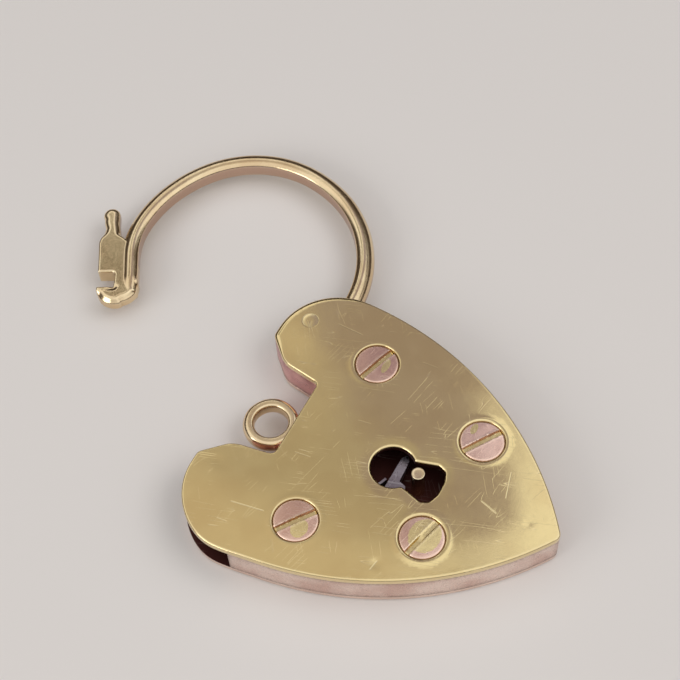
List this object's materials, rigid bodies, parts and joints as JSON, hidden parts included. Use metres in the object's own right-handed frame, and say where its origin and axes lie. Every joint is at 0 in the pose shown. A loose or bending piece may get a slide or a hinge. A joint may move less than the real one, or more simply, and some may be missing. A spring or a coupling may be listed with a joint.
{
  "type": "padlock",
  "caption": "Small flat heart-shaped padlock for a bracelet, with slotted cover screws, a keyhole over a drill pin, a chain ring in the cleft and a swinging open shackle.",
  "frame": {"origin": "on the drill pin's axis, at the outside face of the back plate", "axes": "+Z out of the keyhole face, +Y from the heart's point towards its cleft and the shackle, +X to the right seen from the keyhole side"},
  "size_m": [0.027, 0.0357, 0.0027],
  "materials": {
    "yellow_gold": "polished and worn, nine-carat yellow gold",
    "rose_gold": "satin rose gold",
    "steel": "dull spring steel"
  },
  "bodies": {
    "case": {"back_plate": "rose_gold", "side_wall": "rose_gold", "cleft_wall": "rose_gold", "front_plate": "yellow_gold", "screw_ul": "rose_gold", "screw_ur": "rose_gold", "screw_ll": "rose_gold", "screw_lr": "rose_gold", "pillar_ul": "yellow_gold", "pillar_ur": "yellow_gold", "pillar_ll": "yellow_gold", "pillar_lr": "yellow_gold", "drill_pin": "yellow_gold", "hinge_rivet": "yellow_gold", "chain_ring": "yellow_gold", "lever_post": "steel", "lever_spacer": "steel", "lever_spring": "steel", "spring_stud": "steel"},
    "shackle": {"shackle_bow": "yellow_gold", "shackle_eye": "yellow_gold", "shackle_hook": "yellow_gold", "shackle_finger": "yellow_gold"},
    "lever": {"locking_lever": "steel"}
  },
  "joints": [
    {"name": "shackle_swing", "type": "hinge", "parent": "case", "child": "shackle", "pos_m": [0.00635, 0.0105, 0.00135], "axis": [0, 0, 1], "range_deg": [0, 92]},
    {"name": "lever_pivot", "type": "hinge", "parent": "case", "child": "lever", "pos_m": [-0.0059, 0.00085, 0.00135], "axis": [0, 0, 1], "range_deg": [-4.5, 0], "stiffness_Nm_per_rad": 0.002, "springref_deg": -6.88, "deforming": ["lever_spring"]}
  ]
}
